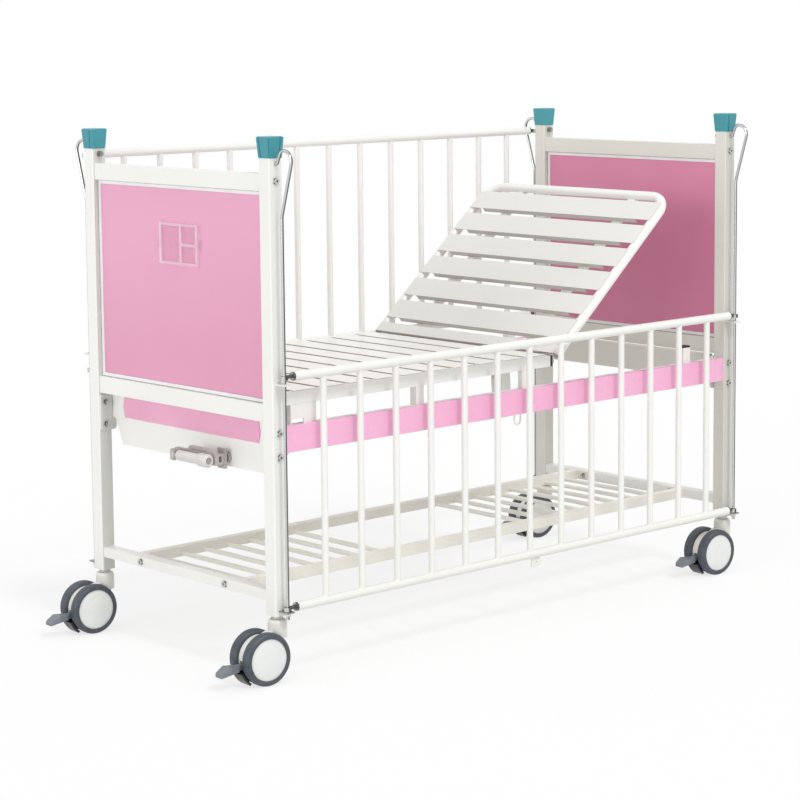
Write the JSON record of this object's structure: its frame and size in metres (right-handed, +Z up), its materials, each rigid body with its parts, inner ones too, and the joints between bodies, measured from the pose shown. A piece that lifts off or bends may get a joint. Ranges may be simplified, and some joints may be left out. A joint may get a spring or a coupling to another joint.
{
  "type": "manual pediatric hospital bed",
  "caption": "Child's hospital bed with a slatted deck and crank-raised backrest, sliding side rails, panelled end boards, a storage rack and braked castors",
  "frame": {"origin": "middle of the whole object's footprint, on the floor", "axes": "+X from the foot end to the head end, +Y from the near side, whose rail is down, to the far side, +Z up"},
  "size_m": [1.7939, 0.8396, 1.266],
  "materials": {
    "frame_paint": "warm white powder coat, satin",
    "cap_plastic": "teal moulded plastic, satin",
    "panel_laminate": "rose pink laminate, semi-gloss",
    "panel_rose": "deep rose laminate, semi-gloss",
    "bead_plastic": "white extruded beading, satin",
    "holder_plastic": "clear moulded plastic, glossy",
    "strip_plastic": "light pink extruded cover, semi-gloss",
    "bolt_zinc": "bright zinc plate",
    "rod_chrome": "bright chrome plate",
    "slat_paint": "warm white powder coat on folded sheet",
    "plug_plastic": "black moulded plastic",
    "screw_steel": "turned steel, lightly greased",
    "crank_plastic": "light grey moulded plastic",
    "tyre_rubber": "dark blue-grey non-marking rubber",
    "disc_plastic": "white moulded wheel disc",
    "castor_plastic": "pale grey moulded castor housing with a black shoe",
    "pedal_plastic": "grey moulded pedal, ribbed top"
  },
  "bodies": {
    "bed_frame": {"foot_near_post": "frame_paint", "foot_far_post": "frame_paint", "head_near_post": "frame_paint", "head_far_post": "frame_paint", "foot_top_rail": "frame_paint", "foot_bottom_rail": "frame_paint", "head_top_rail": "frame_paint", "head_bottom_rail": "frame_paint", "foot_end_beam": "frame_paint", "head_end_beam": "frame_paint", "side_beams": "frame_paint", "corner_brackets": "frame_paint", "deck_frame": "frame_paint", "deck_legs": "frame_paint", "drainage_hooks": "frame_paint", "rack_crossbars": "frame_paint", "rack_shelf": "frame_paint", "bumper_caps": "cap_plastic", "foot_panel": "panel_laminate", "head_panel": "panel_rose", "panel_beadings": "bead_plastic", "card_holder": "holder_plastic", "foot_end_strip": "strip_plastic", "side_strips": "strip_plastic", "frame_bolts": "bolt_zinc", "rod_brackets": "bolt_zinc", "hinge_pins": "bolt_zinc", "guide_rods": "rod_chrome", "deck_slats": "slat_paint", "tube_plugs": "plug_plastic", "screw_bearing": "screw_steel", "castor_stems": "screw_steel"},
    "backrest": {"backrest_frame": "frame_paint", "backrest_slats": "slat_paint", "backrest_lever": "frame_paint"},
    "push_tube": {"push_tube": "frame_paint"},
    "crank": {"lead_screw": "screw_steel", "crank_arm": "crank_plastic"},
    "crank_spindle": {"crank_spindle": "screw_steel"},
    "crank_grip": {"crank_grip": "crank_plastic"},
    "near_rail": {"near_rail": "frame_paint", "near_rail_eyes": "rod_chrome"},
    "far_rail": {"far_rail": "frame_paint", "far_rail_eyes": "rod_chrome"},
    "foot_near_castor": {"foot_near_castor_housing": "castor_plastic"},
    "foot_near_wheels": {"foot_near_castor_tyres": "tyre_rubber", "foot_near_castor_discs": "disc_plastic"},
    "foot_near_pedal": {"foot_near_castor_pedal": "pedal_plastic"},
    "foot_far_castor": {"foot_far_castor_housing": "castor_plastic"},
    "foot_far_wheels": {"foot_far_castor_tyres": "tyre_rubber", "foot_far_castor_discs": "disc_plastic"},
    "foot_far_pedal": {"foot_far_castor_pedal": "pedal_plastic"},
    "head_near_castor": {"head_near_castor_housing": "castor_plastic"},
    "head_near_wheels": {"head_near_castor_tyres": "tyre_rubber", "head_near_castor_discs": "disc_plastic"},
    "head_near_pedal": {"head_near_castor_pedal": "pedal_plastic"},
    "head_far_castor": {"head_far_castor_housing": "castor_plastic"},
    "head_far_wheels": {"head_far_castor_tyres": "tyre_rubber", "head_far_castor_discs": "disc_plastic"},
    "head_far_pedal": {"head_far_castor_pedal": "pedal_plastic"}
  },
  "joints": [
    {"name": "backrest_tilt", "type": "hinge", "parent": "bed_frame", "child": "backrest", "pos_m": [0.20075, 0, 0.657], "axis": [0, -1, 0], "range_deg": [-41, 34]},
    {"name": "push_slide", "type": "slide", "parent": "bed_frame", "child": "push_tube", "axis": [1, 0, 0], "range_m": [-0.07453, 0.06181]},
    {"name": "crank_turn", "type": "hinge", "parent": "bed_frame", "child": "crank", "pos_m": [-0.74725, -0.145, 0.5], "axis": [1, 0, 0], "range_deg": [-4472, 3708.5]},
    {"name": "grip_fold", "type": "hinge", "parent": "crank", "child": "crank_spindle", "pos_m": [-0.77725, -0.022, 0.5], "axis": [0, 0, -1], "range_deg": [0, 90]},
    {"name": "grip_spin", "type": "hinge", "parent": "crank_spindle", "child": "crank_grip", "pos_m": [-0.77725, -0.0985, 0.5], "axis": [0, 1, 0], "continuous": true},
    {"name": "near_rail_slide", "type": "slide", "parent": "bed_frame", "child": "near_rail", "axis": [0, 0, 1], "range_m": [0, 0.483]},
    {"name": "far_rail_slide", "type": "slide", "parent": "bed_frame", "child": "far_rail", "axis": [0, 0, 1], "range_m": [-0.483, 0]},
    {"name": "foot_near_swivel", "type": "hinge", "parent": "bed_frame", "child": "foot_near_castor", "pos_m": [-0.72825, -0.341, 0.13], "axis": [0, 0, 1], "continuous": true},
    {"name": "foot_near_roll", "type": "hinge", "parent": "foot_near_castor", "child": "foot_near_wheels", "pos_m": [-0.77806, -0.33664, 0.0625], "axis": [0.0872, 0.9962, 0], "continuous": true},
    {"name": "foot_near_brake", "type": "hinge", "parent": "foot_near_castor", "child": "foot_near_pedal", "pos_m": [-0.8219, -0.33281, 0.05], "axis": [-0.0872, -0.9962, 0], "range_deg": [0, 12]},
    {"name": "foot_far_swivel", "type": "hinge", "parent": "bed_frame", "child": "foot_far_castor", "pos_m": [-0.72825, 0.341, 0.13], "axis": [0, 0, 1], "continuous": true},
    {"name": "foot_far_roll", "type": "hinge", "parent": "foot_far_castor", "child": "foot_far_wheels", "pos_m": [-0.77806, 0.34536, 0.0625], "axis": [0.0872, 0.9962, 0], "continuous": true},
    {"name": "foot_far_brake", "type": "hinge", "parent": "foot_far_castor", "child": "foot_far_pedal", "pos_m": [-0.8219, 0.34919, 0.05], "axis": [-0.0872, -0.9962, 0], "range_deg": [0, 12]},
    {"name": "head_near_swivel", "type": "hinge", "parent": "bed_frame", "child": "head_near_castor", "pos_m": [0.87375, -0.341, 0.13], "axis": [0, 0, 1], "continuous": true},
    {"name": "head_near_roll", "type": "hinge", "parent": "head_near_castor", "child": "head_near_wheels", "pos_m": [0.82394, -0.33664, 0.0625], "axis": [0.0872, 0.9962, 0], "continuous": true},
    {"name": "head_near_brake", "type": "hinge", "parent": "head_near_castor", "child": "head_near_pedal", "pos_m": [0.7801, -0.33281, 0.05], "axis": [-0.0872, -0.9962, 0], "range_deg": [0, 12]},
    {"name": "head_far_swivel", "type": "hinge", "parent": "bed_frame", "child": "head_far_castor", "pos_m": [0.87375, 0.341, 0.13], "axis": [0, 0, 1], "continuous": true},
    {"name": "head_far_roll", "type": "hinge", "parent": "head_far_castor", "child": "head_far_wheels", "pos_m": [0.82394, 0.34536, 0.0625], "axis": [0.0872, 0.9962, 0], "continuous": true},
    {"name": "head_far_brake", "type": "hinge", "parent": "head_far_castor", "child": "head_far_pedal", "pos_m": [0.7801, 0.34919, 0.05], "axis": [-0.0872, -0.9962, 0], "range_deg": [0, 12]}
  ],
  "couplings": [
    {"joint": "push_slide", "follows": "backrest_tilt", "m_per_rad": 0.10395},
    {"joint": "crank_turn", "follows": "backrest_tilt", "ratio": 108.86}
  ]
}
